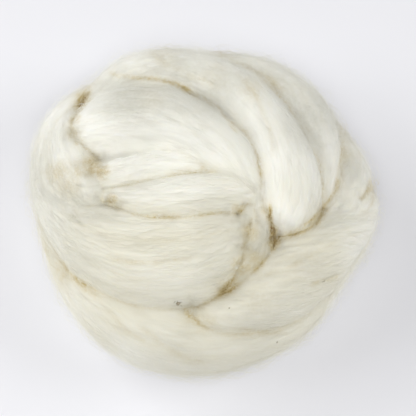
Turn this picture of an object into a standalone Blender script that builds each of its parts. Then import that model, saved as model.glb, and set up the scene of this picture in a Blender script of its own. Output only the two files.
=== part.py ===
"""A loose bundle of natural wool roving: one thick, untwisted strand of combed fleece,
wound by hand into a low round nest and set down on a table.

Metres, +Z up. The origin is the middle of the flat spot that the bundle rests on, and the
face with the crossed turns looks up and towards -Y.
"""

import math

import bpy
import numpy as np

MM = 0.001

# Driving dimensions. The middle line of every turn lies on a squat dome inside the bundle.
DOME_RADIUS = 0.077
DOME_HALF_HEIGHT = 0.035
DOME_MIDDLE = np.array([0.0005, -0.003, 0.031])
# The turns on the face are placed as seen by someone looking down at them this steeply.
LOOK_DOWN_DEG = 66.0
# The wool packed inside the turns sags, so it sits a little below the dome's middle.
CORE_RADIUS = 0.074
CORE_HALF_HEIGHT = 0.0365
CORE_SAG = 0.0035
# How finely a turn is lofted, round it and along it.
SIDES = 20
STEPS = 44
# How many places are worked out between two rows of a turn.
SPAN_POINTS = 24
# The length over which a turn's end closes, as a share of the turn.
END_SHARE = 0.07
# The underside of a turn is this much flatter than its crown.
UNDERSIDE = 0.75
# The wound form is fused at this fineness, then thinned to this many triangles.
FUSE_SIZE = 0.0018
TRIANGLES = 9000
WOOL_COLOUR = (0.80, 0.77, 0.66, 1.0)
WOOL_ROUGHNESS = 0.95

# The turns on the face, from the lowest to the top one: the half thickness, then the rows
# along the strand. A row is across and up from the middle of the face, the lift off the
# dome and the half width, all in mm.
FACE_TURNS = {
    "front": (11, [
        (-66, -22, -8, 8), (-52, -42, -4, 12), (-29, -56, -2, 16), (-2, -63, -2, 16),
        (20, -61, -3, 13.5), (38, -55, -4, 12), (51, -46.5, -6, 10), (62, -37, -8, 8),
    ]),
    "sweep_left": (13, [
        (-54, 67.5, 3, 8), (-67, 61, 5.5, 11), (-77, 46, 7, 13), (-82, 27, 4, 14),
        (-75, 7, 0, 12), (-62, -9, -2, 15), (-50, -19, 0, 19.5), (-27, -25, 1, 21),
        (-3, -22.5, 1, 20), (10.5, -16.5, 0, 15), (17.5, -12.5, -3, 9),
    ]),
    "frayed_end": (10, [
        (-62, 56, -3, 4), (-68, 49, 1, 5.5), (-70.5, 39, 3, 6.5), (-67.5, 29, 3, 8.5),
        (-60, 19, 3, 12), (-54, 10, 2, 9), (-46, 5, 0, 6),
    ]),
    "sunk_middle": (8, [
        (25, 6, 1, 8), (26, -8, 2, 10), (22, -20, 1, 10), (13, -31, -1.5, 9.5), (2, -42, -5, 6),
    ]),
    "outer_right": (12, [
        (-17, 76, -4, 7), (6, 76, -1, 10.5), (28, 69, 1, 13), (46, 54, 0, 15),
        (55, 38, -1, 13), (58, 21, -1, 8.5), (56.5, 9, -1, 6), (53, -1, -2, 4.5),
        (48, -9, -5, 3),
    ]),
    "right_shoulder": (11, [
        (42, 64, -8, 7), (59, 49, -5, 9.5), (68, 33, -2.5, 11), (73.5, 16, -1.5, 13),
        (71, 3, -1.5, 13.5), (63, -8, -5, 10),
    ]),
    "sweep_right": (13, [
        (85, 14, -1, 10), (76, -2.5, -1, 14), (61, -16.5, 0, 17), (47, -28, 0, 18.5),
        (34, -37, 1.5, 17), (20, -44.5, 1, 13), (8, -48, -0.5, 9), (-2, -48.5, -4, 6),
        (-12, -47, -7, 4),
    ]),
    "sweep_left_high": (11, [
        (-66, -4, -4, 7), (-50, -9, 0, 10), (-27, -14, 1.5, 11), (-4, -13, 1.5, 11),
        (8, -10, 0, 9), (17, -9, -3, 5),
    ]),
    "wedge": (8, [
        (-56, 16, 0, 7), (-45, 17.5, 2, 9), (-34, 19.5, 3, 8.5), (-22, 21, 3, 7),
        (-10, 20.5, 2.5, 5), (4, 19.5, 0, 3),
    ]),
    "spindle": (10, [
        (-51, 8, 0, 4), (-38, 6, 2, 7), (-26, 5, 4, 10.5), (-8, 6.5, 4, 11.5),
        (5, 8, 3, 10.5), (15, 8, 1.5, 8.5), (24, 7, -3, 5),
    ]),
    "crown": (14, [
        (-64, 41, -3, 8), (-58, 41.5, 0.5, 14), (-47, 44, 1.5, 19.5), (-27, 44.5, 2, 21.5),
        (-8, 39, 2, 18.5), (4, 32, 2, 16.5), (12.5, 23.5, 1.5, 13), (18.5, 13, 0.5, 9.5),
        (24, 1, -2, 7),
    ]),
    "overlap": (12, [
        (-56, 55, -3, 10), (-50, 62, 2, 13), (-40, 68, 5.5, 13), (-26, 71, 6, 12.5),
        (-9, 69.5, 4, 13.5), (4, 65, 3, 13.5), (19, 56, 2.5, 13.5), (30.5, 41, 3, 14),
        (38, 26, 3.5, 15), (40.5, 11, 3, 15.5), (39.5, 0, 2, 14.5), (36, -11, 0, 11),
    ]),
}
# The turns that wrap the sides and the back. A row is the bearing round the bundle and the
# rise above its middle in degrees, then the lift and the half width in mm. Bearing 0 is +X
# and 90 is +Y.
ROUND_TURNS = {
    "base": (9, [
        (185, -24, -5, 8), (215, -32, 3, 13), (255, -35, 5, 13), (300, -33, 2, 13),
        (345, -28, -1, 13), (390, -29, 3, 14), (430, -34, 4, 13), (480, -33, 4, 13),
        (530, -27, 3, 14), (560, -24, -1, 12), (590, -22, -7, 8),
    ]),
    "rim": (10, [
        (165, 0, -7, 6), (185, -2, -5, 9), (212, -6, -4, 10), (240, -9, -1, 10),
        (265, -11, -2, 10), (290, -11, -6, 9), (312, -10, -9, 7),
    ]),
    "middle_wrap": (10, [
        (-60, -14, -10, 8), (-30, -8, -8, 11), (0, -4, -1, 13), (40, 0, -3, 15), (80, 2, 0, 16),
        (115, 4, 3, 16), (145, 4, 3, 15), (175, 0, -1, 13), (210, -6, -6, 12),
        (240, -12, -8, 8),
    ]),
    "back_wrap": (10, [
        (20, 14, -7, 7), (50, 26, -4, 13), (80, 32, -2, 15), (110, 32, -2, 15),
        (140, 26, -2, 13), (165, 16, -6, 8),
    ]),
}


def dome_size(lift=0.0):
    return np.array([DOME_RADIUS, DOME_RADIUS, DOME_HALF_HEIGHT]) + lift


def face_point(across, up, lift):
    """Where the line of sight through this place on the face meets the dome, in metres
    from the middle of the dome. A place off the dome is brought to its rim."""
    slope = math.radians(LOOK_DOWN_DEG)
    to_viewer = np.array([0, -math.cos(slope), math.sin(slope)])
    up_face = np.array([0, math.sin(slope), math.cos(slope)])
    start = np.array([across * MM, 0, 0]) + up * MM * up_face
    size = dome_size(lift * MM)
    ray, origin = to_viewer / size, start / size
    middle = (origin @ ray) / (ray @ ray)
    beyond = middle ** 2 - (origin @ origin - 1) / (ray @ ray)
    reach = math.sqrt(max(beyond, 0)) - middle
    point = origin + reach * ray
    return size * point / np.linalg.norm(point)


def round_point(bearing, rise, lift):
    turn, tip = math.radians(bearing), math.radians(rise)
    way = np.array([math.cos(turn) * math.cos(tip), math.sin(turn) * math.cos(tip), math.sin(tip)])
    return way * dome_size(lift * MM)


def smooth_route(knots, steps):
    """A Catmull-Rom curve through the knots, at even distances along it."""
    ends = np.vstack([2 * knots[0] - knots[1], knots, 2 * knots[-1] - knots[-2]])
    t = np.linspace(0, 1, SPAN_POINTS, endpoint=False)[:, None]
    spans = []
    for before, first, last, after in zip(ends, ends[1:], ends[2:], ends[3:]):
        bend = 2 * before - 5 * first + 4 * last - after
        lean = 3 * first - before - 3 * last + after
        spans.append(first + 0.5 * ((last - before) * t + bend * t ** 2 + lean * t ** 3))
    fine = np.vstack(spans + [knots[-1:]])
    steps_long = np.linalg.norm(np.diff(fine[:, :3], axis=0), axis=1)
    length = np.concatenate([[0], np.cumsum(steps_long)])
    even = np.linspace(0, length[-1], steps)
    return np.column_stack([np.interp(even, length, column) for column in fine.T])


def unit(vectors):
    return vectors / np.linalg.norm(vectors, axis=-1, keepdims=True)


def turn_frame(rows, place, steps):
    """The middle line of a turn with its outward and sideways directions and half width."""
    knots = np.array([[*place(*row[:3]), row[3] * MM] for row in rows])
    route = smooth_route(knots, steps)
    middle, half_width = route[:, :3], route[:, 3]
    along = unit(np.gradient(middle, axis=0))
    outward = unit(middle / dome_size() ** 2)
    sideways = unit(np.cross(along, outward))
    outward = np.cross(sideways, along)
    return middle, outward, sideways, half_width


def make_turn(name, half_thickness, rows, place):
    """One turn of the strand: a ball drawn out along its route, broad and flattish, that
    follows the dome from side to side and closes at both ends."""
    bpy.ops.mesh.primitive_uv_sphere_add(segments=SIDES, ring_count=STEPS, radius=1)
    turn = bpy.context.object
    turn.name = name
    ball = np.empty(len(turn.data.vertices) * 3)
    turn.data.vertices.foreach_get("co", ball)
    ball = ball.reshape(-1, 3)
    share = np.arccos(np.clip(ball[:, 2], -1, 1)) / math.pi
    angle = np.arctan2(ball[:, 1], ball[:, 0])
    middle, outward, sideways, half_width = turn_frame(rows, place, STEPS + 1)
    at = np.rint(share * STEPS).astype(int)
    from_end = np.minimum(share, 1 - share) / END_SHARE
    closing = np.sqrt(np.sin(np.clip(from_end, 0, 1) * math.pi / 2))
    across = np.cos(angle) * half_width[at] * closing
    fullness = np.sqrt(half_width / half_width.max())
    rise = np.sin(angle) * half_thickness * MM * fullness[at] * closing
    rise = np.where(rise < 0, rise * UNDERSIDE, rise)
    sag = across ** 2 / (2 * DOME_RADIUS)
    points = middle[at] + across[:, None] * sideways[at] + (rise - sag)[:, None] * outward[at]
    turn.data.vertices.foreach_set("co", (points + DOME_MIDDLE).ravel())
    return turn


def make_core():
    """The wool packed inside the turns."""
    bpy.ops.mesh.primitive_uv_sphere_add(segments=32, ring_count=16, radius=1)
    core = bpy.context.object
    core.scale = (CORE_RADIUS, CORE_RADIUS, CORE_HALF_HEIGHT)
    core.location = DOME_MIDDLE - [0, 0, CORE_SAG]
    bpy.ops.object.transform_apply(location=True, rotation=False, scale=True)
    return core


def wool_material():
    wool = bpy.data.materials.new("natural_wool")
    wool.use_nodes = True
    shader = wool.node_tree.nodes["Principled BSDF"]
    shader.inputs["Base Color"].default_value = WOOL_COLOUR
    shader.inputs["Roughness"].default_value = WOOL_ROUGHNESS
    return wool


def join(objects):
    bpy.ops.object.select_all(action="DESELECT")
    for obj in objects:
        obj.select_set(True)
    bpy.context.view_layer.objects.active = objects[0]
    bpy.ops.object.join()
    return objects[0]


def add_modifier(obj, kind, **settings):
    modifier = obj.modifiers.new(kind.title(), kind)
    for name, value in settings.items():
        setattr(modifier, name, value)
    bpy.context.view_layer.objects.active = obj
    bpy.ops.object.modifier_apply(modifier=modifier.name)


def flatten_underside(bundle):
    """Cuts the bundle level with the table, which gives it its flat spot."""
    bpy.ops.object.mode_set(mode="EDIT")
    bpy.ops.mesh.select_all(action="SELECT")
    bpy.ops.mesh.bisect(
        plane_co=(0, 0, 0), plane_no=(0, 0, 1), use_fill=True, clear_inner=True, threshold=1e-6
    )
    bpy.ops.mesh.normals_make_consistent(inside=False)
    bpy.ops.object.mode_set(mode="OBJECT")


def all_turns():
    for name, (half_thickness, rows) in FACE_TURNS.items():
        yield name, half_thickness, rows, face_point
    for name, (half_thickness, rows) in ROUND_TURNS.items():
        yield name, half_thickness, rows, round_point


def make_bundle():
    turns = [make_turn(*turn) for turn in all_turns()]
    bundle = join([make_core()] + turns)
    add_modifier(bundle, "REMESH", mode="VOXEL", voxel_size=FUSE_SIZE)
    add_modifier(bundle, "SMOOTH", factor=0.5, iterations=4)
    bundle.data.calc_loop_triangles()
    share = TRIANGLES / len(bundle.data.loop_triangles)
    add_modifier(bundle, "DECIMATE", ratio=share)
    flatten_underside(bundle)
    bundle.name = bundle.data.name = "roving"
    bundle.data.materials.clear()
    bundle.data.materials.append(wool_material())
    bundle.data.shade_smooth()
    return bundle


def clear_scene():
    for obj in list(bpy.data.objects):
        bpy.data.objects.remove(obj)


def main():
    clear_scene()
    collection = bpy.data.collections.new("wool_roving")
    bpy.context.scene.collection.children.link(collection)
    layer = bpy.context.view_layer.layer_collection.children[collection.name]
    bpy.context.view_layer.active_layer_collection = layer
    make_bundle()


main()
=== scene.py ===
"""A loose nest of natural wool roving: one thick, untwisted strand of combed fleece, wound
by hand and set down on a pale table."""
import math

import bpy
import numpy as np
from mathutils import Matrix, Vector
from mathutils.bvhtree import BVHTree


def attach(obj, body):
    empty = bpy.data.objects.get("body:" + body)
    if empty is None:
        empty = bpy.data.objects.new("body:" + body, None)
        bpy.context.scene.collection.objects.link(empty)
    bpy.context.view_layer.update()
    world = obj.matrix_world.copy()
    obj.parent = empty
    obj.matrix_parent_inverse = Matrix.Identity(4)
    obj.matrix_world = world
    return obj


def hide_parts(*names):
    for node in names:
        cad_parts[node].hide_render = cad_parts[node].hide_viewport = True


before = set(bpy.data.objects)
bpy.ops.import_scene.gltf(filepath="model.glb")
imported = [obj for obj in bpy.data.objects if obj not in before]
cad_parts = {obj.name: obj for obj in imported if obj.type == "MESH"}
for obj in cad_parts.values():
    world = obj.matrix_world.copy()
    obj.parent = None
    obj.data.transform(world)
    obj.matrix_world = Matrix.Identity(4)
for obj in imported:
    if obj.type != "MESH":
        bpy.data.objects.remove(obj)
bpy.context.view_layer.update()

bpy.ops.object.select_all(action="DESELECT")

# The camera and the table
# The nest is looked down at from just in front of it. The table is a broad, matt, pale board
# with a faint cool cast.
# Lengths are in metres where nothing else is said, and those of the lens in mm.
MM = 0.001
NEST_MIDDLE = np.array([0.0005, -0.003, 0.031])
LOOK_DOWN = math.radians(66)
VIEW_WIDTH = 0.208
LENS, SENSOR = 100, 36
EYE_DISTANCE = VIEW_WIDTH * LENS / SENSOR
IMAGE_SIDE = 416
NEST_MIDDLE_PIXEL = (204, 210)
TABLE_SIDE = 12.0
TABLE_COLOUR = (0.79, 0.79, 0.82, 1)
TABLE_ROUGHNESS = 0.8
# the board's grains to the metre, how fine they break up, how high they stand and how much shows
GRAINS, GRAIN_DETAIL, GRAIN_HEIGHT, GRAIN_SHOWN = 420.0, 3.0, 0.0002, 0.05

to_viewer = np.array([0, -math.cos(LOOK_DOWN), math.sin(LOOK_DOWN)])
up_face = np.array([0, math.sin(LOOK_DOWN), math.cos(LOOK_DOWN)])
bpy.ops.object.camera_add(location=NEST_MIDDLE + to_viewer * EYE_DISTANCE)
camera = bpy.context.object
camera.rotation_euler = (math.pi / 2 - LOOK_DOWN, 0, 0)
camera.data.lens = LENS
camera.data.sensor_width = SENSOR
camera.data.shift_x = (IMAGE_SIDE / 2 - NEST_MIDDLE_PIXEL[0]) / IMAGE_SIDE
camera.data.shift_y = (NEST_MIDDLE_PIXEL[1] - IMAGE_SIDE / 2) / IMAGE_SIDE
bpy.context.scene.camera = camera


class Value:
    """A shader socket that takes part in sums."""

    def __init__(self, socket):
        self.socket = socket

    def maths(self, operation, first, second):
        sockets = {0: first, 1: second}
        return add_node(self.socket.id_data, "ShaderNodeMath", {"operation": operation}, sockets)

    def __add__(self, other):
        return self.maths("ADD", self, other)

    def __sub__(self, other):
        return self.maths("SUBTRACT", self, other)

    def __rsub__(self, other):
        return self.maths("SUBTRACT", other, self)

    def __mul__(self, other):
        return self.maths("MULTIPLY", self, other)

    __radd__ = __add__
    __rmul__ = __mul__

    def clamped(self):
        return add_node(self.socket.id_data, "ShaderNodeClamp", {}, {"Value": self})


def fill(node, sockets):
    """Gives a node's sockets, by name or number, their values and links."""
    for name, given in sockets.items():
        if isinstance(given, Value):
            node.id_data.links.new(given.socket, node.inputs[name])
        else:
            node.inputs[name].default_value = given


def add_node(tree, kind, settings, sockets, output=0):
    """Any other node: its type, its settings, then its sockets."""
    node = tree.nodes.new(kind)
    for name, value in settings.items():
        setattr(node, name, value)
    fill(node, sockets)
    return Value(node.outputs[output])


def noise(tree, place, scale, detail):
    sockets = {"Vector": place, "Scale": scale, "Detail": detail}
    return add_node(tree, "ShaderNodeTexNoise", {}, sockets)


def bump(tree, height, distance, shown):
    """A relief that is this high, and how much of it shows."""
    sockets = {"Height": height, "Distance": distance, "Strength": shown}
    return add_node(tree, "ShaderNodeBump", {}, sockets)


def new_material(name):
    material = bpy.data.materials.new(name)
    material.use_nodes = True
    return material, material.node_tree, material.node_tree.nodes["Principled BSDF"]


bpy.ops.mesh.primitive_plane_add(size=TABLE_SIDE)
table = bpy.context.object
table.name = "table"
board, tree, shader = new_material("pale_board")
place = add_node(tree, "ShaderNodeTexCoord", {}, {}, "Object")
grain = bump(tree, noise(tree, place, GRAINS, GRAIN_DETAIL), GRAIN_HEIGHT, GRAIN_SHOWN)
fill(shader, {"Base Color": TABLE_COLOUR, "Roughness": TABLE_ROUGHNESS, "Normal": grain})
table.data.materials.append(board)

# The turns of the strand
# Each turn is a length of the untwisted strand, broad and flattish, with rounded tucked ends
# and soft lengthwise ridges where its fibres lie in locks. The turns lie on a squat dome.
DOME_RADIUS = 0.077
DOME_HALF_HEIGHT = 0.035
# how thick a turn is below its middle line, where it is 1 above it
UNDERSIDE = 0.75
# the share of a turn's length over which each end closes
END_SHARE = 0.07
# points between two rows of a table, corners round a turn, and the step from ring to ring
SPAN_POINTS = 24
AROUND = 60
RING_PITCH = 0.0019

# name: (half thickness, rows along the strand: across, up, lift and half width, all in mm)
FACE_TURNS = {
    "front": (11, [
        (-66, -22, -8, 8), (-52, -42, -4, 12), (-29, -56, -2, 16), (-2, -63, -2, 16),
        (20, -61, -3, 13.5), (38, -55, -4, 12), (51, -46.5, -6, 10), (62, -37, -8, 8),
    ]),
    "sweep_left": (13, [
        (-54, 67.5, 3, 8), (-67, 61, 5.5, 11), (-77, 46, 7, 13), (-82, 27, 4, 14),
        (-75, 7, 0, 12), (-62, -9, -2, 15), (-50, -18, 0, 17), (-27, -24.5, 1, 20.5),
        (-3, -22.5, 1, 20), (11.5, -16.5, 0, 15), (19.5, -12.5, -2.5, 9),
    ]),
    "frayed_end": (10, [
        (-61, 56, -2, 5), (-65, 49, 2.5, 7), (-66, 39, 4, 9), (-66, 29, 3.5, 9),
        (-62.5, 18, 2.5, 11), (-55, 9.5, 2, 9), (-46, 5, 0, 6),
    ]),
    "sunk_middle": (8, [
        (24.5, 6, 1, 6.5), (24, -8, 1.5, 7.5), (21.5, -20, 1, 9.5), (13, -31, -1.5, 9.5),
        (2, -42, -5, 6),
    ]),
    "outer_right": (12, [
        (-17, 76, -4, 7), (6, 76, -1, 10.5), (28, 69, 1, 13), (46, 54, 0, 15),
        (55, 38, -1, 13), (58, 21, -1, 8.5), (56.5, 9, -1, 6), (53, -1, -2, 4.5),
        (48, -9, -5, 3),
    ]),
    "right_shoulder": (11, [
        (42, 64, -8, 7), (59, 49, -5, 9.5), (68, 33, -2.5, 11), (73.5, 16, -1.5, 13),
        (71, 3, -1.5, 13.5), (63, -8, -5, 10),
    ]),
    "sweep_right": (13, [
        (84.5, 14, -1, 10), (75, -2, -1, 13), (60, -16, 0, 16), (47, -28, 0, 18.5),
        (34, -37, 1.5, 17), (20, -44.5, 1, 13), (8, -48, -0.5, 9), (-2, -48.5, -4, 6),
        (-12, -47, -7, 4),
    ]),
    "sweep_left_high": (11, [
        (-66, -4, -4, 7), (-50, -9, 0, 10), (-27, -14, 1.5, 11), (-4, -13, 1.5, 11),
        (8, -10, 0, 9), (17, -9, -3, 5),
    ]),
    "wedge": (8, [
        (-56, 14.5, 0, 5), (-45, 15.5, 2, 7.5), (-34, 18, 3, 8), (-22, 20.5, 3, 7),
        (-10, 20.5, 2.5, 5), (4, 19.5, 0, 3),
    ]),
    "spindle": (10, [
        (-48, 7, -1, 3), (-38, 5.5, 1.5, 5), (-26, 4, 3.5, 9), (-8, 5, 4, 11.5),
        (5, 6.5, 3, 10.5), (15, 7, 1.5, 8.5), (24, 6.5, -3, 5),
    ]),
    "crown": (14, [
        (-57.5, 40.5, -3, 10), (-53.5, 40, 0.5, 15), (-46, 42.5, 1.5, 21), (-27, 43.5, 2, 20.5),
        (-8.5, 38, 2, 17.5), (3.5, 31.2, 2, 15.5), (12.5, 23.5, 1.5, 13), (18.5, 13, 0.5, 9.5),
        (24, 1, -2, 7),
    ]),
    "overlap": (12, [
        (-56, 55, -3, 10), (-50, 62, 2, 13), (-40, 68, 5.5, 13), (-26, 71, 6, 12.5),
        (-9, 69.5, 4, 13.5), (4, 65, 3, 13.5), (19, 56, 2.5, 13.5), (30.5, 41, 3, 14),
        (38, 26, 3.5, 15), (40.5, 11, 3, 15.5), (39.5, 0, 3, 15), (36, -12, 2, 12),
    ]),
}
# name: (half thickness, rows: bearing and rise in degrees, lift and half width in mm)
ROUND_TURNS = {
    "base": (9, [
        (185, -24, -5, 8), (215, -32, 3, 13), (255, -35, 5, 13), (300, -33, 2, 13),
        (345, -28, -1, 13), (390, -29, 3, 14), (430, -34, 4, 13), (480, -33, 4, 13),
        (530, -27, 3, 14), (560, -24, -1, 12), (590, -22, -7, 8),
    ]),
    "rim": (10, [
        (165, 0, -7, 6), (185, -2, -5, 9), (212, -6, -4, 10), (240, -9, -1, 10),
        (265, -11, -2, 10), (290, -11, -6, 9), (312, -10, -9, 7),
    ]),
    "middle_wrap": (10, [
        (-60, -14, -10, 8), (-30, -8, -8, 11), (0, -4, -1, 13), (40, 0, -3, 15), (80, 2, 0, 16),
        (115, 4, 3, 16), (145, 4, 3, 15), (175, 0, -1, 13), (210, -6, -6, 12),
        (240, -12, -8, 8),
    ]),
    "back_wrap": (10, [
        (20, 14, -7, 7), (50, 26, -4, 13), (80, 32, -3.5, 15), (110, 32, -3.5, 15),
        (140, 26, -2, 13), (165, 16, -6, 8),
    ]),
}
# how many ridges there are round a turn, and their height in mm
RIDGES = {2: 0.22, 3: 0.18, 5: 0.12, 7: 0.08, 10: 0.05, 14: 0.03}
# The ridges drift round a turn and back, by this angle, over about this length.
RIDGE_DRIFT, DRIFT_LENGTH = 1.6, 0.11
# the least half width and half thickness that a point is set against, and the least share of them
THINNEST, INNERMOST = 0.00001, 0.05


def unit(vectors):
    return vectors / np.linalg.norm(vectors, axis=-1, keepdims=True)


def dot(first, second):
    return (first * second).sum(axis=-1)


def read(items, name, width=1, kind=float):
    """What every item of a mesh says under this name."""
    values = np.empty(len(items) * width, kind)
    items.foreach_get(name, values)
    return values.reshape(-1, width) if width > 1 else values


def way_to(bearing, rise):
    """The way towards this bearing and rise, in degrees."""
    turn, tip = math.radians(bearing), math.radians(rise)
    return np.array([math.cos(turn) * math.cos(tip), math.sin(turn) * math.cos(tip), math.sin(tip)])


def dome_size(lift=0.0):
    return np.array([DOME_RADIUS, DOME_RADIUS, DOME_HALF_HEIGHT]) + lift


def face_point(across, up, lift):
    """The point of the dome, raised by the lift, that shows at this place of the face."""
    start = np.array([across * MM, 0, 0]) + up * MM * up_face
    size = dome_size(lift * MM)
    ray, origin = to_viewer / size, start / size
    middle = (origin @ ray) / (ray @ ray)
    beyond = middle ** 2 - (origin @ origin - 1) / (ray @ ray)
    point = origin + (math.sqrt(max(beyond, 0)) - middle) * ray
    return size * unit(point)


def round_point(bearing, rise, lift):
    """The point of the dome, raised by the lift, on this bearing and rise."""
    return way_to(bearing, rise) * dome_size(lift * MM)


def smooth_route(knots):
    """A curve through the knots at an even pitch. At each it runs as its neighbours lie."""
    ends = np.vstack([2 * knots[0] - knots[1], knots, 2 * knots[-1] - knots[-2]])
    t = np.linspace(0, 1, SPAN_POINTS, endpoint=False)[:, None]
    spans = []
    for before, first, last, after in zip(ends, ends[1:], ends[2:], ends[3:]):
        bend = 2 * before - 5 * first + 4 * last - after
        lean = 3 * first - before - 3 * last + after
        spans.append(first + 0.5 * ((last - before) * t + bend * t ** 2 + lean * t ** 3))
    fine = np.vstack(spans + [knots[-1:]])
    steps = np.linalg.norm(np.diff(fine[:, :3], axis=0), axis=1)
    length = np.concatenate([[0], np.cumsum(steps)])
    even = np.linspace(0, length[-1], int(length[-1] / RING_PITCH) + 1)
    return np.column_stack([np.interp(even, length, column) for column in fine.T]), length[-1]


class Turn:
    """A length of the strand: its middle line, and the form of its skin round that."""

    def __init__(self, name, half_thickness, rows, place, seed):
        self.name = name
        self.half_thickness = half_thickness * MM
        knots = np.array([[*place(*row[:3]), row[3] * MM] for row in rows])
        route, self.length = smooth_route(knots)
        self.middle, self.half_width = route[:, :3], route[:, 3]
        self.along = unit(np.gradient(self.middle, axis=0))
        outward = unit(self.middle / dome_size() ** 2)
        self.sideways = unit(np.cross(self.along, outward))
        self.outward = np.cross(self.sideways, self.along)
        self.rings = len(route) - 1
        self.girth = math.pi * (self.half_width.mean() + self.half_thickness)
        random = np.random.default_rng(seed)
        self.phases = {count: random.uniform(0, 2 * math.pi, 2) for count in RIDGES}

    def at(self, table, share):
        """A table of the route read at these shares of its length."""
        place = np.clip(share, 0, 1) * self.rings
        low = np.minimum(place.astype(int), self.rings - 1)
        part = (place - low).reshape(-1, *[1] * (table.ndim - 1))
        return table[low] * (1 - part) + table[low + 1] * part

    def section(self, share):
        """Half the width and half the thickness, which close towards the ends."""
        half_width = self.at(self.half_width, share)
        from_end = np.minimum(share, 1 - share) / END_SHARE
        closing = np.sqrt(np.sin(np.clip(from_end, 0, 1) * math.pi / 2))
        fullness = np.sqrt(half_width / self.half_width.max())
        return half_width * closing, self.half_thickness * fullness * closing

    def ridges(self, share, angle):
        """How high the ridges stand."""
        height = 0
        for count, size in RIDGES.items():
            phase, drift = self.phases[count]
            wander = np.sin(2 * math.pi * share * self.length / DRIFT_LENGTH + drift)
            height = height + size * MM * np.sin(count * angle + phase + RIDGE_DRIFT * wander)
        return height

    def skin(self, share, angle):
        """Points of the skin."""
        half_width, thickness = self.section(share)
        across = np.cos(angle) * half_width
        rise = np.sin(angle) * thickness
        rise = np.where(rise < 0, rise * UNDERSIDE, rise)
        sag = across ** 2 / (2 * DOME_RADIUS)
        return (
            NEST_MIDDLE
            + self.at(self.middle, share)
            + across[:, None] * self.at(self.sideways, share)
            + (rise - sag)[:, None] * self.at(self.outward, share)
        )

    def nearest(self, points):
        """Each point's share of the length, its angle round it and how far outside it is."""
        points = points - NEST_MIDDLE
        apart = (self.middle ** 2).sum(axis=1) - 2 * points @ self.middle.T
        ring = apart.argmin(axis=1)
        beyond = dot(points - self.middle[ring], self.along[ring])
        share = np.clip((ring + beyond * self.rings / self.length) / self.rings, 0, 1)
        offset = points - self.at(self.middle, share)
        across = dot(offset, self.at(self.sideways, share))
        rise = dot(offset, self.at(self.outward, share)) + across ** 2 / (2 * DOME_RADIUS)
        rise = np.where(rise < 0, rise / UNDERSIDE, rise)
        half_width, thickness = np.maximum(self.section(share), THINNEST)
        ratio = np.maximum(np.hypot(across / half_width, rise / thickness), INNERMOST)
        outside = np.linalg.norm(offset, axis=1) * (1 - 1 / ratio)
        return share, np.arctan2(rise / thickness, across / half_width), outside


def wind(turn):
    """Draws a ball out along the turn's route."""
    bpy.ops.mesh.primitive_uv_sphere_add(segments=AROUND, ring_count=turn.rings, radius=1)
    piece = bpy.context.object
    ball = read(piece.data.vertices, "co", 3)
    share = np.arccos(np.clip(ball[:, 2], -1, 1)) / math.pi
    angle = np.arctan2(ball[:, 1], ball[:, 0]) + math.pi / 2
    piece.data.vertices.foreach_set("co", turn.skin(share, angle).ravel())
    return piece


turns = []
for table_of_turns, place in ((FACE_TURNS, face_point), (ROUND_TURNS, round_point)):
    for name, (half_thickness, rows) in table_of_turns.items():
        turns.append(Turn(name, half_thickness, rows, place, seed=len(turns)))
wound = [wind(turn) for turn in turns]

# The wool packed inside the turns
# More of the same strand fills the nest and closes the chinks between the turns. Its weight
# presses it flat against the table.
CORE_RADIUS, CORE_HALF_HEIGHT, CORE_SAG = 0.074, 0.0365, 0.0035
CORE_AROUND, CORE_RINGS = 96, 48
bpy.ops.mesh.primitive_uv_sphere_add(segments=CORE_AROUND, ring_count=CORE_RINGS, radius=1)
core = bpy.context.object
core.scale = (CORE_RADIUS, CORE_RADIUS, CORE_HALF_HEIGHT)
core.location = NEST_MIDDLE - [0, 0, CORE_SAG]
bpy.ops.object.transform_apply(location=True, rotation=False, scale=True)

# The skin of the nest
# The turns cling together, so the nest has one skin: soft grooves between the turns, and
# none where a turn is only the strand folded back along itself.
SKIN_PITCH = 0.0011
# The tables of places give across and up the face, then a radius, all in mm, then a strength.
# how far two turns run into each other
BLENDED = [
    (14, 14, 16, 1), (72, 4, 16, 1), (-46, 64, 14, 1), (62, 50, 14, 1), (20, -8, 9, 0.8),
    (21, -18, 9, 0.7), (-70, 14, 18, 0.8), (-50, 12, 9, 0.6), (-32, 27, 20, 0.6),
    (-66, 0, 14, 0.7), (-70, -28, 11, 0.6), (-66, 36, 10, 0.5), (25, 8, 8, 0.8),
]
# how high a tuft stands that fills a chink, in mm
TUFTS = [
    (17, -1.5, 6, 1.2), (25, 8, 7, 0.6), (-55, 24.5, 7, 1.5), (-48.5, 3.5, 7, 1.9),
    (38.5, -12.5, 5.5, 1.3), (68, 3, 8, 0.4), (-51.5, 27, 6, 1.7), (-44, 27, 7, 0.9),
    (-37, 26, 7, 0.4), (1, -45.5, 7, 0.5), (25, -12, 7, 0.4),
]
# how much further the skin settles
SUNK_IN = [
    (17, -1.5, 7, 1.0), (24.5, 8.5, 7, 1.0), (-53, 27, 7, 1.0), (-49, 3.5, 7, 1.2),
    (-38, 28, 12, 0.6), (35.5, -13, 6, 1.2), (66, 2, 9, 0.8), (-2, 57, 9, 0.5), (10, 48, 9, 0.5),
]
# how much deeper a groove is: at 1 it is twice as deep
DEEP_GROOVES = [(33, -5, 8, 1), (34, -14, 8, 0.3), (45, -12, 8, 0.3), (56, -1, 9, 0.8)]
# how fast a place fades towards its radius, and how fast the face fades towards its edge
PLACE_FADE, EDGE_FADE = 1.5, 5
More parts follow.
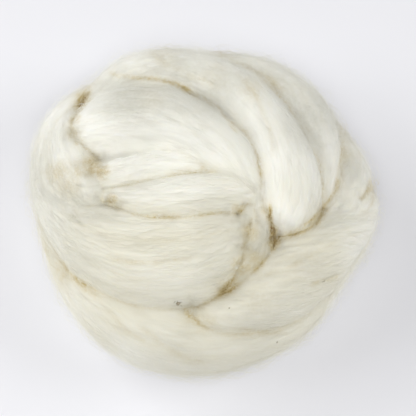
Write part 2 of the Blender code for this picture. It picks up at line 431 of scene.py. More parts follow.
# Soft folds inside a turn: depth and width in mm and how tan the fold's painted shade is, then
# its way across and up the face in mm. A fold with no depth is only a tan line of painted shade.
FOLDS = [
    ((0.45, 2.2, 0.15), (17, 68), (25.5, 59), (29.5, 49), (33, 41), (34.3, 32.5), (34.5, 26)),
    ((0.5, 2.0, 0.30), (12, 75.5), (19.5, 72), (25.5, 69), (31, 64), (37, 58.5), (42, 52.5), (46, 47)),
    ((0.1, 1.6, 0.25), (68, 44), (69, 32.5), (68, 24), (66.5, 16)),
    ((0.2, 2.0, 0.60), (67.5, 19), (65.5, 9.5), (60.5, 2), (55, -4), (48, -9)),
    ((0.4, 1.8, 0.25), (69, -32), (63, -34.5), (58, -35.5), (52, -38)),
    ((0.6, 2.5, 0.20), (-50, -24), (-36, -26), (-22, -26), (-2, -23)),
    ((0.7, 3.0, 0.15), (-35, -55), (-22, -67), (-10, -74), (5, -78)),
    ((0.7, 3.0, 0.15), (-52, -45), (-40, -60), (-22, -70)),
    ((0.6, 3.0, 0.12), (-29, 81), (-20, 74), (-7, 67), (6, 63)),
    ((0.5, 2.5, 0.10), (22, -34), (40, -30), (58, -20), (72, -12)),
    ((0.6, 2.5, 0.20), (10, -58), (30, -62), (44, -60)),
    ((1.1, 2.6, 0.50), (84, 17), (82.5, 10), (80.5, 7), (77, 5.5)),
    ((0.1, 1.5, 1.30), (32.8, 4), (33.5, -4), (34.2, -16.5)),
    ((0.0, 1.8, 0.35), (-48, 69), (-42, 67), (-27, 66), (-19.5, 64.5), (-12, 62.5), (-7, 60)),
    ((0.0, 2.0, 0.40), (-16, 63.5), (-7, 60), (2, 54.5), (6.5, 51.5), (10.5, 47), (18, 37)),
    ((0.5, 1.4, 0.30), (16, -3), (17, -1), (19.5, 3), (24.5, 3), (26.5, -3), (28, -9)),
    ((0.5, 1.8, 0.30), (24, -3), (23.5, -6), (22.5, -11), (21, -16), (20, -21)),
    ((0.2, 1.8, 0.30), (-77, -17), (-68, -30), (-59, -40), (-50, -45)),
]
# how wide a fold's tan of painted shade is next to the fold, and the share of its first and
# last steps that fades
FOLD_TAN_WIDTH, FOLD_END = 0.5, 0.5
# how often the skin is smoothed, how far each time, and how much of that it keeps
SETTLE_ROUNDS, SETTLE_STEP, SETTLED = 70, 0.5, 0.85
# a turn with less half width than this has lower ridges and locks, and the ridges fall off faster
RIDGED_WIDTH, RIDGE_FALL = 0.018, 1.5
# soft locks along the strand: how many waves are summed, their width and length, and the height
LOCK_WAVES, LOCK_WIDTH, LOCK_LENGTH, LOCK_HEIGHT = 48, (0.0035, 0.012), (0.045, 0.16), 0.00020
LOCK_SEED = 100
# how strongly the locks of a turn stand, where that is not 1
COMBED = {
    "crown": 0.4, "overlap": 0.3, "outer_right": 0.5, "right_shoulder": 0.4, "wedge": 0.4,
    "spindle": 0.1, "rim": 0.4, "frayed_end": 0.2, "sweep_right": 0.6, "sweep_left": 0.55,
    "sweep_left_high": 0.55, "front": 0.8,
}
# how far the fibres of a turn lie askew: across for each step along
ASKEW = {"sweep_right": 0.5}
# a groove's depth and how far it reaches, and how far from it the ridges are full
GROOVE_DEPTH, GROOVE_REACH, RIDGE_FADE = 0.0005, 0.0009, 0.0020
# turns that are one strand side by side, and how far they run together
SAME_STRAND = {
    ("sweep_left", "sweep_left_high"): 0.8, ("rim", "front"): 0.85, ("rim", "base"): 0.5,
    ("sweep_left", "frayed_end"): 0.75, ("crown", "wedge"): 0.75,
}

for piece in wound:
    piece.select_set(True)
bpy.context.view_layer.objects.active = core
bpy.ops.object.join()
nest = bpy.context.object
nest.name = "wool_skin"
fuse = nest.modifiers.new("one skin", "REMESH")
fuse.mode = "VOXEL"
fuse.voxel_size = SKIN_PITCH
bpy.ops.object.modifier_apply(modifier=fuse.name)


def on_face(points):
    """Each point's place across and up the face in mm, as it is looked down at, and how much
    that side of the nest is turned to the viewer: 1 on the face, and 0 beyond its edge."""
    offset = points - NEST_MIDDLE
    nearer = EYE_DISTANCE / (EYE_DISTANCE - dot(offset, to_viewer))
    place = np.column_stack([offset[:, 0], dot(offset, up_face)]) * nearer[:, None] / MM
    turned = dot(unit(offset / dome_size() ** 2), to_viewer)
    return place, np.clip(turned * EDGE_FADE + 1, 0, 1)


def radii_from(place, across, up, radius):
    """How many radii each place is from this one."""
    return np.linalg.norm(place - (across, up), axis=1) / radius


def face_places(points, places):
    """The strongest of these places at each point. A place is full near its middle, and fades
    to nothing at its radius."""
    place, facing = on_face(points)
    strongest = np.zeros(len(points))
    for across, up, radius, strength in places:
        near = np.clip(PLACE_FADE - PLACE_FADE * radii_from(place, across, up, radius), 0, 1)
        strongest = np.maximum(strongest, near * strength)
    return strongest * facing


def fold_places(points, run, width):
    """How near each point is to a line down the face: 1 on it, and fading over the width."""
    place, facing = on_face(points)
    near = np.zeros(len(points))
    for number, (first, last) in enumerate(zip(run, run[1:])):
        first, last = np.array(first), np.array(last)
        step = last - first
        part = np.clip((place - first) @ step / (step @ step), 0, 1)
        apart = np.linalg.norm(place - first - part[:, None] * step, axis=1)
        end = np.minimum(number + part, len(run) - 1 - number - part)
        near = np.maximum(near, np.exp(-((apart / width) ** 2)) * np.clip(end / FOLD_END, 0, 1))
    return near * facing


def strand_place(turn, share, angle):
    """The place round and along a turn in metres, as its fibres lie."""
    along = share * turn.length
    across = angle * turn.girth / (2 * math.pi) + ASKEW.get(turn.name, 0) * along
    return np.column_stack([across, along])


# which turn each point of the skin is on, how near the next one is, and where both are one
points = read(nest.data.vertices, "co", 3)
readings = [turn.nearest(points) for turn in turns]
outside = np.array([reading[2] for reading in readings])
order = outside.argsort(axis=0)
owner, second = order[0], order[1]
every = np.arange(len(points))
gap = outside[second, every] - outside[owner, every]
names = np.array([turn.name for turn in turns])
same = np.zeros(len(points))
for (one, other), share in SAME_STRAND.items():
    pair = (names[owner] == one) & (names[second] == other)
    pair |= (names[owner] == other) & (names[second] == one)
    same[pair] = share
softness = np.maximum(same, face_places(points, BLENDED))

# The fused skin settles, and then stands up in ridges, locks and tufts and sinks in grooves
# and folds.
settle = nest.modifiers.new("settle", "SMOOTH")
settle.factor = SETTLE_STEP
settle.iterations = SETTLE_ROUNDS
bpy.ops.object.modifier_apply(modifier=settle.name)
settled = read(nest.data.vertices, "co", 3)
settling = SETTLED + (1 - SETTLED) * softness + face_places(points, SUNK_IN)
points += (settled - points) * settling[:, None]
outwards = read(nest.data.vertex_normals, "vector", 3)
relief = np.zeros(len(points))
for index, (turn, (share, angle, _)) in enumerate(zip(turns, readings)):
    here = owner == index
    fullness = turn.at(turn.half_width, share[here]) / RIDGED_WIDTH
    relief[here] = turn.ridges(share[here], angle[here]) * np.minimum(fullness, 1) ** RIDGE_FALL
    random = np.random.default_rng(LOCK_SEED + index)
    widths = random.uniform(*LOCK_WIDTH, LOCK_WAVES) * random.choice([-1, 1], LOCK_WAVES)
    waves = np.column_stack([1 / widths, 1 / random.uniform(*LOCK_LENGTH, LOCK_WAVES)])
    place = strand_place(turn, share[here], angle[here])
    phase = 2 * math.pi * (place @ waves.T + random.random(LOCK_WAVES))
    locks = LOCK_HEIGHT * math.sqrt(2 / LOCK_WAVES) * np.sin(phase).sum(axis=1)
    relief[here] += locks * np.minimum(fullness, 1) * COMBED.get(turn.name, 1)
relief *= 1 - np.exp(-gap / RIDGE_FADE)
deeper = 1 + face_places(points, DEEP_GROOVES)
relief -= GROOVE_DEPTH * deeper * np.exp(-gap / GROOVE_REACH) * (1 - softness)
relief += face_places(points, TUFTS) * MM
fold_shade = np.zeros(len(points))
# Each fold sinks, and a tan line of painted shade runs along it.
for (depth, width, tan), *run in FOLDS:
    relief -= depth * MM * fold_places(points, run, width)
    fold_shade += tan * fold_places(points, run, width * FOLD_TAN_WIDTH)
points += relief[:, None] * outwards
points[:, 2] = np.maximum(points[:, 2], 0)
nest.data.vertices.foreach_set("co", points.ravel())

# Painted shade and tan places
# Each place of the skin knows how tan, how shaded and how deep a cream it is made. The tan to
# brown of the tight creases and pits, and the grey of shaded places, are painted shade; some
# patches between the creases are the wool's own tan.
# how strongly each crease is painted tan, as painted shade
PAINTED_CREASE_SHADE = [
    (-3, 58, 10, 0.3), (4, 54, 10, 0.5), (18, 38, 10, 0.45), (29, 22, 10, 0.6),
    (31, -3, 7, 0.5), (33.7, -14, 9, 1.9), (44, -11, 11, 1.2), (54, -3, 11, 1.1),
    (63, 10, 10, 0.5), (67, 24, 12, 0.25), (25, -23, 10, 1.0), (11, -39, 9, 0.9),
    (2, -43, 7, 0.55), (-60, 54, 8, 1.0), (-66, 44, 9, 0.5), (-65, 33, 9, 0.5),
    (-57, 26, 8, 0.8), (-46, 4, 8, 1.2), (2, 19, 7, 1.0), (-22, -5, 16, 0.5), (0, -3, 14, 0.3),
    (-32, 13, 12, 0.4), (-10, 17, 12, 0.6), (-62, -32, 14, 0.8), (-4, -51, 10, 0.6),
    (81, 9, 8, 0.2), (38, 60, 12, 0.3), (48, 45, 12, 0.5), (57, 25, 9, 0.6), (17, -1, 6, 0.8),
]
# how tan the wool is between the creases: tan patches of the wool itself, and painted shade in
# the pits, the notch and the slit
TAN_PATCHES = [
    (-73, 19, 8, 0.25), (-67, 12, 8, 0.2), (-56, 22, 8, 0.5), (-51, 19, 5, 0.6),
    (-63, 20, 7, 0.25), (-65.5, 38, 5, 0.3), (-64, 46, 4, 0.3), (23, -11, 6, 0.4),
    (21, -20, 5, 0.2), (16, 0, 4, 0.3), (18, -28, 6, 0.5), (-7, -52, 8, 0.15),
    (1, -57, 8, 0.15), (-60, 56, 4, 0.5), (35, -15, 4, 1.1), (10, -39, 4, 0.25),
    (-20, 78, 9, 0.08), (6, 67, 9, 0.08), (24, 60, 8, 0.12), (-26, 56, 8, 0.08),
    (48, -25, 22, 0.07), (28, -45, 14, 0.09), (-46, 5, 4, 0.55), (17, -1, 3, 0.3),
    (25, -24, 5, 0.35), (20.5, -29, 5, 0.4), (15, -34, 4, 0.35),
]
# painted shade: how grey the fleece is painted where it lies in shade, on slopes turned from the
# light and beside grooves; where the strength is below 0 it is painted lighter
PAINTED_SHADE_PLACES = [
    (-27, 57, 17, 0.6), (-41, 55, 12, 0.6), (0, 50, 14, 0.42), (-8, 72, 14, 0.3),
    (8, 66, 12, 0.3), (27, 38, 12, 0.2), (18, 62, 12, 0.2), (38, 68, 16, 0.3),
    (52, 50, 14, 0.45), (60, 34, 14, 0.1), (48, 36, 9, 0.3), (66, 44, 14, 0.2),
    (48, -26, 20, 0.38), (43, -2, 9, -0.12), (25, -70, 20, 0.25), (-60, -8, 16, 0.2),
    (4, -16, 18, 0.2), (-12, -64, 18, 0.2), (-34, 18, 12, 0.2), (-32, -18, 14, 0.1),
    (28, -45, 12, 0.35), (-2, 30, 14, 0.08), (-34, 19, 9, 0.08), (-20, 84, 14, 0.4),
    (12, 78, 12, 0.2), (-77, -4, 16, 0.4), (-71, 38, 8, 0.2), (-62, -25, 10, 0.25),
    (-84, 20, 16, 0.5),
]
# how deep and dark a cream each place is made, most of all on the lower and front turns
CREAM_PLACES = [
    (48, -25, 26, 1.0), (28, -45, 22, 0.9), (43, -6, 9, -0.6), (42, 10, 10, 0.15),
    (13, 14, 12, 0.35), (24, -70, 26, 0.9), (-12, -65, 24, 0.6), (-47, -57, 24, 0.7),
    (-60, -12, 24, 0.45), (-32, -18, 26, 0.6), (3, -15, 22, 0.7), (70, -8, 18, 0.25),
    (52, -58, 20, 0.8), (-70, -30, 18, 0.4), (-37, -71, 10, -0.25), (72, 14, 12, 0.3),
]
# the least painted shade of a crease, the most tan and the least cream of the wool
FAINT_TAN, FULL_TAN, FAINT_CREAM = 0.34, 1.75, 0.15
# how far the painted crease shade reaches from a crease, times a least share and what the crease's tan
# adds
TAN_REACH, LEAST_REACH, REACH_ADDED = 0.0009, 0.6, 0.8
# the share of the painted crease shade that reaches wider, and how far
WIDE_SHARE, WIDE_REACH = 0.1, 0.0040
# the length of map that each turn has to itself
MAP_STEP = 1.7


def face_tone(points, places):
    """The same as face_places, but with soft edges, and summed."""
    place, facing = on_face(points)
    tone = np.zeros(len(points))
    for across, up, radius, strength in places:
        tone += strength * np.exp(-radii_from(place, across, up, radius) ** 2)
    return tone * facing


# painted shade in the creases: how tan each crease is painted, then how near it is
tan = FAINT_TAN + face_places(points, PAINTED_CREASE_SHADE)
near = np.exp(-gap / (TAN_REACH * (LEAST_REACH + REACH_ADDED * tan)))
near = (1 - WIDE_SHARE) * near + WIDE_SHARE * np.exp(-gap / WIDE_REACH)
crease_shade_and_tan = tan * near * (1 - softness)
crease_shade_and_tan = np.clip(np.maximum(crease_shade_and_tan, face_places(points, TAN_PATCHES)) + fold_shade, 0, FULL_TAN)
# painted shade: grey where the fleece lies in shade
painted_shade = np.clip(face_tone(points, PAINTED_SHADE_PLACES), 0, 1)
cream = np.clip(FAINT_CREAM + face_tone(points, CREAM_PLACES), 0, 1)

# the turn that each face is on, and a map that runs along its strand
corner_vertex = read(nest.data.loops, "vertex_index", kind=int)
face_size = read(nest.data.polygons, "loop_total", kind=int)
face_start = np.concatenate([[0], face_size.cumsum()[:-1]])
face_owner = np.add.reduceat(outside[:, corner_vertex], face_start, axis=1).argmin(axis=0)
corner_owner = np.repeat(face_owner, face_size)
strand_map = np.empty((len(corner_vertex), 2))
for index, (turn, (share, angle, _)) in enumerate(zip(turns, readings)):
    here = corner_owner == index
    corner = corner_vertex[here]
    strand_map[here] = strand_place(turn, share[corner], angle[corner]) + (0, index * MAP_STEP)
while nest.data.uv_layers:
    nest.data.uv_layers.remove(nest.data.uv_layers[0])
nest.data.uv_layers.new(name="strand").data.foreach_set("uv", strand_map.ravel())
tones = {"crease_shade_and_tan": crease_shade_and_tan, "painted_shade": painted_shade, "cream": cream}
for name, value in tones.items():
    nest.data.attributes.new(name, "FLOAT", "POINT").data.foreach_set("value", value)
nest.data.shade_smooth()
nest.data.update()

# Combed wool
# Undyed cream fleece: pale, matt and slightly see-through, with long streaks along the strand.
# Painted shade makes it grey where it lies in shade and tan to brown in the creases and pits,
# and some patches of it are tan.
WOOL_PALE = (0.94, 0.94, 0.895, 1)
WOOL_DEEP = (0.895, 0.89, 0.83, 1)
WOOL_CREAM = (0.77, 0.75, 0.645, 1)
# the grey of painted shade
WOOL_SHADE_GREY = (0.64, 0.63, 0.555, 1)
WOOL_TAN = (0.59, 0.48, 0.22, 1)
# the brown of the deepest creases and pits, painted shade
DEEP_SHADE_BROWN = (0.24, 0.13, 0.02, 1)
WOOL_FINISH = {
    "Roughness": 0.85, "Specular IOR Level": 0.15, "Sheen Weight": 0.25, "Sheen Roughness": 0.6,
}
SEE_THROUGH = {
    "Subsurface Weight": 0.3, "Subsurface Radius": (1.0, 0.85, 0.6), "Subsurface Scale": 0.0015,
}
# streaks to the metre, across and along the strand
STREAKS = {"broad": (170, 7), "fine": (700, 22)}
THIN_LOCKS, SINGLE_FIBRES = (1000, 9), (2600, 60)
# where the noise of the streaks starts, and how fine it breaks up
STREAK_START, STREAK_DETAIL = (3.1, 7.7, 0.0), 3.0
# spots to the metre
SPOTS = {"stipple": 1500.0, "mottle": 600.0, "patches": 180.0}
SPOT_DETAIL = 2.0
# The noises swing about this value.
NOISE_MIDDLE = 0.5
# how much each noise adds to the streaks, and how strong they are without it
BROAD_ADDED, FINE_ADDED, PLAIN_STREAK = 1.2, 0.7, 0.45
# how much each noise makes a tone uneven
CREAM_SWING = {"broad": 0.8}
PAINTED_SHADE_SWING = {"mottle": 0.6, "patches": 0.8, "fine": 0.4}
TAN_SWING = {"stipple": 2.5, "mottle": 2.0, "patches": 2.0, "fine": 1.0}
# thin locks are faintly tan: the noise that they start at, how sharply, and how tan
THIN_START, THIN_SHARPNESS, THIN_TAN = 0.60, 5, 0.14
# the tan that turns to brown, the painted shade of the deepest creases and pits
BROWN_START = 0.9
# how deep the streaks and the single fibres lie, and how much of that shows
STREAK_DEPTH, FIBRE_DEPTH, BUMP_HEIGHT, BUMP_SHOWN = 0.7, 0.5, 0.0005, 0.07


def mixed(tree, factor, first, second):
    """Two colours mixed. The names of these sockets repeat, so they go by number."""
    sockets = {0: factor, 6: first, 7: second}
    return add_node(tree, "ShaderNodeMix", {"data_type": "RGBA"}, sockets, 2)


def stretched(tree, across, along):
    """Noise drawn out along the strand, with this many streaks to the metre."""
    strand = add_node(tree, "ShaderNodeUVMap", {"uv_map": "strand"}, {})
    sockets = {"Vector": strand, "Scale": (across, along, 1.0), "Location": STREAK_START}
    return noise(tree, add_node(tree, "ShaderNodeMapping", {}, sockets), 1.0, STREAK_DETAIL)


def uneven(tone, noises, swing):
    """A tone that these noises vary."""
    change = 1
    for name, share in swing.items():
        change = change + noises[name] * share
    return tone * change


def colour_wool(tree, shader, more_streak=0.0):
    """Lays the streaks, then the cream, the thin locks, the grey of painted shade, and the tan
    and brown of painted crease shade and of tan patches.
    """
    crease_shade_and_tan, painted_shade, cream = (
        add_node(tree, "ShaderNodeAttribute", {"attribute_name": name}, {}, "Fac")
        for name in ("crease_shade_and_tan", "painted_shade", "cream")
    )
    place = add_node(tree, "ShaderNodeTexCoord", {}, {}, "Object")
    noises = {name: stretched(tree, *counts) - NOISE_MIDDLE for name, counts in STREAKS.items()}
    for name, count in SPOTS.items():
        noises[name] = noise(tree, place, count, SPOT_DETAIL) - NOISE_MIDDLE
    streaks = noises["broad"] * BROAD_ADDED + noises["fine"] * FINE_ADDED
    streaks = streaks + PLAIN_STREAK + more_streak
    colour = mixed(tree, streaks.clamped(), WOOL_PALE, WOOL_DEEP)
    colour = mixed(tree, uneven(cream, noises, CREAM_SWING).clamped(), colour, WOOL_CREAM)
    thin = (stretched(tree, *THIN_LOCKS) - THIN_START) * THIN_SHARPNESS
    colour = mixed(tree, thin.clamped() * THIN_TAN, colour, WOOL_TAN)
    # painted shade: grey in shaded places, then tan and brown, mostly painted shade in the creases
    colour = mixed(tree, uneven(painted_shade, noises, PAINTED_SHADE_SWING).clamped(), colour, WOOL_SHADE_GREY)
    crease_shade_and_tan = uneven(crease_shade_and_tan, noises, TAN_SWING)
    colour = mixed(tree, crease_shade_and_tan.clamped(), colour, WOOL_TAN)
    colour = mixed(tree, (crease_shade_and_tan - BROWN_START).clamped(), colour, DEEP_SHADE_BROWN)
    fill(shader, {"Base Color": colour, **WOOL_FINISH})


def wear_wool(piece, material):
    """Gives a piece its wool. Like all the wool here, it stands for the one wound strand."""
    piece.data.materials.clear()
    piece.data.materials.append(material)
    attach(piece, "root")
    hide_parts("roving")


wool, tree, shader = new_material("combed_wool")
colour_wool(tree, shader)
grooves = stretched(tree, *STREAKS["fine"]) * STREAK_DEPTH
grooves = grooves + stretched(tree, *SINGLE_FIBRES) * FIBRE_DEPTH
fill(shader, {"Normal": bump(tree, grooves, BUMP_HEIGHT, BUMP_SHOWN), **SEE_THROUGH})
wear_wool(nest, wool)

# Fibres that lie along the strand
# Single fibres and thin locks on the skin, combed along each turn, with both tips tucked in.
# They are the strand's own wool.
LYING_PIECES, LYING_EACH, LYING_POINTS = 2, 8500, 5
LYING_LENGTH = (0.008, 0.024)
# the highest arch of a fibre, and how far its tips are tucked in
LYING_ARCH, LYING_TUCK = 0.00012, 0.00005
# the sides of a fibre, and the least and the most radius
FIBRE_SIDES, FIBRE_RADIUS = 3, (0.00002, 0.00005)
# the two weights of the bell that the tints lie in
LYING_TINT = (2, 2)
# how far askew the fibres set off, and how much they bend at each step, as angles
LYING_ASKEW, LYING_BEND = 0.08, 0.04
# how far into a turn the next turn's way is felt
CLOSE_TURN = 0.0015
# No fibre starts lower than this on the underside, and none goes lower than the clearance.
PRESSED_HEIGHT, TABLE_CLEARANCE = 0.0015, 0.0003
# how far from the middle of its face a fibre starts, in steps of the skin
SCATTER = 0.3
# how much of its heading a fibre keeps at each step
HEADING_KEPT = 0.3
# the free edge of each fibre's cell of the map, and how strongly its tint shows
CELL_EDGE, TINT_SHOWN = 0.1, 0.4
# added to a way that may have no length, so that nothing is divided by 0
HARDLY_ANY = 1e-9
FIBRE_SEED = 40

corners = read(nest.data.vertices, "co", 3)
every_face = [tuple(face.vertices) for face in nest.data.polygons]
skin = BVHTree.FromPolygons([Vector(corner) for corner in corners], every_face)
face_area = read(nest.data.polygons, "area")
face_middle = read(nest.data.polygons, "center", 3)
face_normal = read(nest.data.polygons, "normal", 3)
face_corner = corner_vertex[face_start]
face_tones = {name: value[face_corner] for name, value in tones.items()}
face_strand = strand_map[face_start]
in_air = (face_middle[:, 2] > PRESSED_HEIGHT) | (face_normal[:, 2] > 0)

# The fibres' way at each face: that of its own turn, easing into the next turn's at a crease.
face_outside = outside[:, face_corner]
share_of_turn = np.exp(-(face_outside - face_outside.min(axis=0)) / CLOSE_TURN)
flow = np.zeros((len(every_face), 3))
own_way = np.zeros((len(every_face), 3))
ways = []
for index, (turn, (share, _, _)) in enumerate(zip(turns, readings)):
    way = turn.at(turn.along, share[face_corner])
    way = way + ASKEW.get(turn.name, 0) * turn.at(turn.sideways, share[face_corner])
    own_way[face_owner == index] = way[face_owner == index]
    ways.append(way)
for index, way in enumerate(ways):
    way *= np.sign(dot(way, own_way))[:, None]
    flow += share_of_turn[index][:, None] * way
flow = unit(flow - dot(flow, face_normal)[:, None] * face_normal + HARDLY_ANY)


def run_fibres(random, faces, length, points, askew, bend):
    """Fibres that start at these faces and run over the skin. Gives points, normals, faces."""
    count = len(faces)
    spot = face_middle[faces] + random.normal(0, SKIN_PITCH * SCATTER, (count, 3))
    sign = random.choice([-1.0, 1.0], count)[:, None]
    veer = random.normal(0, askew, count)
    heading = flow[faces] * sign
    steps = []
    for step in range(points):
        found = [skin.find_nearest(Vector(place)) for place in spot]
        spot = np.array([place for place, _, _, _ in found])
        normal = np.array([normal for _, normal, _, _ in found])
        face = np.array([face for _, _, face, _ in found])
        steps.append((spot, normal, face))
        way = flow[face] * np.sign(dot(flow[face], heading))[:, None]
        way = way * np.cos(veer)[:, None] + np.cross(normal, way) * np.sin(veer)[:, None]
        heading = unit(heading * HEADING_KEPT + way)
        veer = veer + random.normal(0, bend, count)
        spot = spot + heading * (length / (points - 1))[:, None]
    spots, normals, met = zip(*steps)
    return np.stack(spots, axis=1), np.stack(normals, axis=1), np.stack(met, axis=1)


def fibre_corners(points, radius):
    """The corners of each fibre: a tip, the rings between, and the other tip."""
    along = unit(np.gradient(points, axis=1) + HARDLY_ANY)
    side = unit(np.cross(along, points - NEST_MIDDLE))
    out = np.cross(side, along)
    rings = []
    for k in range(FIBRE_SIDES):
        way = math.radians(90 + 360 / FIBRE_SIDES * k)
        edge = math.cos(way) * side + math.sin(way) * out
        rings.append(points[:, 1:-1] + edge[:, 1:-1] * radius[:, None, None])
    rings = np.stack(rings, axis=2).reshape(len(points), -1, 3)
    return np.concatenate([points[:, :1], rings, points[:, -1:]], axis=1)


def fibre_faces(steps):
    """The sides and the tips of one fibre. A face lists its corners: each one's number, and its
    places along and round the fibre."""
    ring = [
        [1 + FIBRE_SIDES * (r - 1) + k % FIBRE_SIDES for k in range(FIBRE_SIDES + 1)]
        for r in range(1, steps - 1)
    ]
    last = 1 + FIBRE_SIDES * (steps - 2)
    sides, tips = [], []
    for k in range(FIBRE_SIDES):
        tips.append([(0, 0, k + 0.5), (ring[0][k + 1], 1, k + 1), (ring[0][k], 1, k)])
        tips.append([
            (last, steps - 1, k + 0.5), (ring[-1][k], steps - 2, k),
            (ring[-1][k + 1], steps - 2, k + 1),
        ])
        for r in range(1, steps - 2):
            sides.append([
                (ring[r - 1][k], r, k), (ring[r - 1][k + 1], r, k + 1),
                (ring[r][k + 1], r + 1, k + 1), (ring[r][k], r + 1, k),
            ])
    return np.array(sides, float), np.array(tips, float)


def draw_fibres(name, points, faces, radius, tint):
    """Fibres that are pointed at both ends, as one mesh with a cell of the map for each."""
    count, steps, _ = points.shape
    points[:, :, 2] = np.maximum(points[:, :, 2], TABLE_CLEARANCE)
    corners = fibre_corners(points, radius)
    first = (np.arange(count) * corners.shape[1])[:, None, None]
    cells = math.ceil(math.sqrt(count))
    cell = np.stack([np.arange(count) % cells, np.arange(count) // cells], axis=1)
    start = face_strand[faces[:, 0]]
    mesh_faces, cell_map, strand = [], [], []
    for group in fibre_faces(steps):
        mesh_faces += (first + group[:, :, 0].astype(int)).reshape(-1, group.shape[1]).tolist()
        place = group[:, :, 1:] / (steps - 1, FIBRE_SIDES)
        place = place * (1 - 2 * CELL_EDGE) + CELL_EDGE
        cell_map.append(((cell[:, None, None] + place) / cells).reshape(-1, 2))
        strand.append(np.repeat(start, group.shape[0] * group.shape[1], axis=0))
    mesh = bpy.data.meshes.new(name)
    mesh.from_pydata(corners.reshape(-1, 3), [], mesh_faces)
    mesh.uv_layers.new(name="OFBake").data.foreach_set("uv", np.concatenate(cell_map).ravel())
    mesh.uv_layers.new(name="strand").data.foreach_set("uv", np.concatenate(strand).ravel())
    corner_step = [0, *np.repeat(range(1, steps - 1), FIBRE_SIDES), steps - 1]
    # The fibres take the tan, the painted shade and the cream of the skin where they lie.
    for tone, of_face in face_tones.items():
        of_corner = of_face[faces[:, corner_step]].ravel()
        mesh.attributes.new(tone, "FLOAT", "POINT").data.foreach_set("value", of_corner)
    tint = np.repeat(tint, corners.shape[1])
    mesh.attributes.new("tint", "FLOAT", "POINT").data.foreach_set("value", tint)
    piece = bpy.data.objects.new(name, mesh)
    bpy.context.collection.objects.link(piece)
    wear_wool(piece, fibre_wool)


def lifted(points, normals, height):
    return points + normals * height[:, :, None]


fibre_wool, tree, shader = new_material("wool_fibre")
tint = add_node(tree, "ShaderNodeAttribute", {"attribute_name": "tint"}, {}, "Fac")
colour_wool(tree, shader, (tint - NOISE_MIDDLE) * TINT_SHOWN)

random = np.random.default_rng(FIBRE_SEED)
chance = face_area * in_air
chance /= chance.sum()
for part in range(LYING_PIECES):
    start = random.choice(len(chance), LYING_EACH, p=chance)
    length = random.uniform(*LYING_LENGTH, LYING_EACH)
    spots, normals, met = run_fibres(random, start, length, LYING_POINTS, LYING_ASKEW, LYING_BEND)
    t = np.linspace(-1, 1, LYING_POINTS)
    height = random.uniform(0, LYING_ARCH, LYING_EACH)[:, None] * (1 - t ** 2) - LYING_TUCK
    radius = random.uniform(*FIBRE_RADIUS, LYING_EACH)
    tint = random.beta(*LYING_TINT, LYING_EACH)
    draw_fibres(f"combed_fibres_{part + 1}", lifted(spots, normals, height), met, radius, tint)

# Loose fibres
# Fine fibres that stand off the turns in low arcs, some with a free tip. They soften the
# nest's outline.
LOOSE_PIECES, LOOSE_EACH, LOOSE_POINTS = 2, 10500, 5
LOOSE_LENGTH = (0.006, 0.022)
LOOSE_ASKEW, LOOSE_BEND = 0.22, 0.09
# the share of them with both tips down, and how a free tip rises along its fibre
BOTH_TIPS_DOWN, FREE_RISE = 0.6, 1.3
# how the heights spread, their measure, which grows with each piece, and their limits
LOOSE_SPREAD, LOOSE_MEASURE, LOOSE_HEIGHT = 1.6, 0.0008, (0.0002, 0.006)
for part in range(LOOSE_PIECES):
    start = random.choice(len(chance), LOOSE_EACH, p=chance)
    length = random.uniform(*LOOSE_LENGTH, LOOSE_EACH)
    spots, normals, met = run_fibres(random, start, length, LOOSE_POINTS, LOOSE_ASKEW, LOOSE_BEND)
    t = np.linspace(0, 1, LOOSE_POINTS)
    arched = random.random(LOOSE_EACH)[:, None] < BOTH_TIPS_DOWN
    arch = np.where(arched, 4 * t * (1 - t), t ** FREE_RISE)
    height = random.gamma(LOOSE_SPREAD, LOOSE_MEASURE * (part + 1), LOOSE_EACH)
    height = height.clip(*LOOSE_HEIGHT)[:, None] * arch
    radius = random.uniform(*FIBRE_RADIUS, LOOSE_EACH)
    tint = random.uniform(0, 1, LOOSE_EACH)
    draw_fibres(f"loose_fibres_{part + 1}", lifted(spots, normals, height), met, radius, tint)

# Frayed wool
# Short curled fibres, matted, where the strand's end is frayed and where the turns rub on one
# another. They take the tan and the painted shade of the skin under them.
# across and up the face, radius, all in mm, and how many fibres
FRAYED = [
    (-56, 22, 8, 650), (-60, 9, 9, 600), (-46, 3, 5, 160), (-60, 56, 6, 350), (-64, 38, 4, 150),
    (24, -4, 8, 500), (24, -18, 7, 400), (33, -13, 4, 150), (12, -38, 6, 250), (-4, -48, 7, 200),
    (2, 53, 9, 350), (-14, 60, 9, 350), (25, 60, 10, 350), (44, 58, 12, 350), (36, 70, 12, 300),
    (-8, 76, 14, 350), (56, -1, 5, 150), (78, 8, 5, 150), (54, 54, 11, 450), (66, 38, 11, 350),
    (18, 78, 10, 300), (-84, 20, 14, 200),
]
FRAYED_POINTS = 5
FRAYED_LENGTH = (0.002, 0.008)
FRAYED_ASKEW, FRAYED_BEND = 1.2, 0.7
FRAYED_SPREAD, FRAYED_MEASURE, FRAYED_HEIGHT = 1.8, 0.0005, (0.0001, 0.0025)
# The arch is this much longer than the fibre, so that the far tip stands a little off.
FRAYED_ARCH = 1.05
FRAYED_TINT = (0.2, 1.2)
place, facing = on_face(face_middle)
start = []
for across, up, radius, count in FRAYED:
    near = face_area * np.exp(-radii_from(place, across, up, radius) ** 2) * facing
    start.append(random.choice(len(near), count, p=near / near.sum()))
start = np.concatenate(start)
length = random.uniform(*FRAYED_LENGTH, len(start))
spots, normals, met = run_fibres(random, start, length, FRAYED_POINTS, FRAYED_ASKEW, FRAYED_BEND)
t = np.linspace(0, 1, FRAYED_POINTS)
height = random.gamma(FRAYED_SPREAD, FRAYED_MEASURE, len(start)).clip(*FRAYED_HEIGHT)
height = height[:, None] * 4 * t * (FRAYED_ARCH - t)
radius = random.uniform(*FIBRE_RADIUS, len(start))
tint = random.uniform(*FRAYED_TINT, len(start))
draw_fibres("frayed_fibres", lifted(spots, normals, height), met, radius, tint)

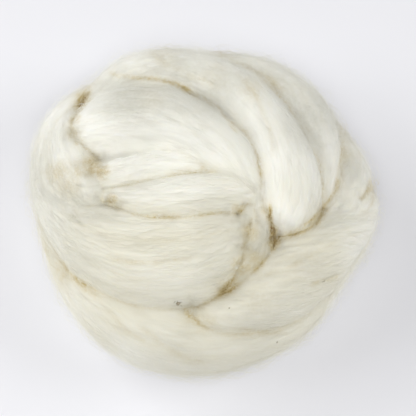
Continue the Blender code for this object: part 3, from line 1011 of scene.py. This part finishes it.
# Specks of straw
# Bits of seed husk and straw that combing has left, dry and brown. They are caught among the
# fibres.
# across and up the face, length and half thickness, all in mm, and its turn in degrees
SPECKS = [
    (-11.8, -42.7, 2.2, 0.8, 20), (34, -61.5, 1.1, 0.35, 70), (55, -33, 2.2, 0.3, 20),
    (11.5, -44.5, 0.9, 0.3, 40), (-13.2, -41.8, 2.2, 0.12, 50), (-10.4, -42.2, 2.4, 0.12, 15),
    (-12.6, -43.6, 2.6, 0.12, -20), (-10.6, -43.8, 2.0, 0.12, -50), (-12.2, -41.4, 1.8, 0.12, 100),
]
SPECK_AROUND, SPECK_RINGS = 10, 6
# Each is let fall on the skin from this far off.
SPECK_DROP = 0.2
STRAW_DARK = (0.16, 0.12, 0.06, 1)
STRAW_PALE = (0.34, 0.27, 0.14, 1)
STRAW_MOTTLE, STRAW_ROUGHNESS = 2500.0, 0.7
bpy.ops.object.select_all(action="DESELECT")
bits = []
for across, up, length, thick, turned in SPECKS:
    above = NEST_MIDDLE + across * MM * np.array([1, 0, 0]) + up * MM * up_face
    above = above + to_viewer * SPECK_DROP
    place, _, _, _ = skin.ray_cast(Vector(above), Vector(-to_viewer))
    bpy.ops.mesh.primitive_uv_sphere_add(
        segments=SPECK_AROUND, ring_count=SPECK_RINGS, radius=1, location=place
    )
    bit = bpy.context.object
    bit.scale = (length * MM / 2, thick * MM, thick * MM)
    bit.rotation_euler = (0, 0, math.radians(turned))
    bits.append(bit)
for bit in bits:
    bit.select_set(True)
bpy.ops.object.join()
specks = bpy.context.object
specks.name = "straw_specks"
bpy.ops.object.transform_apply(location=True, rotation=True, scale=True)
specks.data.shade_smooth()
straw, tree, shader = new_material("straw")
place = add_node(tree, "ShaderNodeTexCoord", {}, {}, "Object")
mottle = noise(tree, place, STRAW_MOTTLE, SPOT_DETAIL)
colour = mixed(tree, mottle, STRAW_DARK, STRAW_PALE)
fill(shader, {"Base Color": colour, "Roughness": STRAW_ROUGHNESS})
specks.data.materials.append(straw)
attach(specks, "root")
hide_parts("roving")

# The light
# Four soft boxes: a strong one high in front, and lower ones on the left, at the back left
# and on the right. The white room fills the shade.
# bearing and rise in degrees, and power in watts
SOFT_BOXES = [(270, 64, 14.4), (185, 35, 9.5), (148, 35, 10.4), (0, 35, 10.9)]
BOX_DISTANCE, BOX_SIZE = 1.8, 1.0
ROOM_COLOUR, ROOM_STRENGTH = (1, 1, 1, 1), 0.22
for bearing, rise, power in SOFT_BOXES:
    way = Vector(way_to(bearing, rise))
    bpy.ops.object.light_add(type="AREA", location=way * BOX_DISTANCE)
    box = bpy.context.object
    box.data.shape = "DISK"
    box.data.size = BOX_SIZE
    box.data.energy = power
    box.rotation_euler = way.to_track_quat("Z", "Y").to_euler()
room = bpy.data.worlds.new("room")
room.use_nodes = True
fill(room.node_tree.nodes["Background"], {"Color": ROOM_COLOUR, "Strength": ROOM_STRENGTH})
bpy.context.scene.world = room
bpy.context.scene.view_settings.view_transform = "Standard"
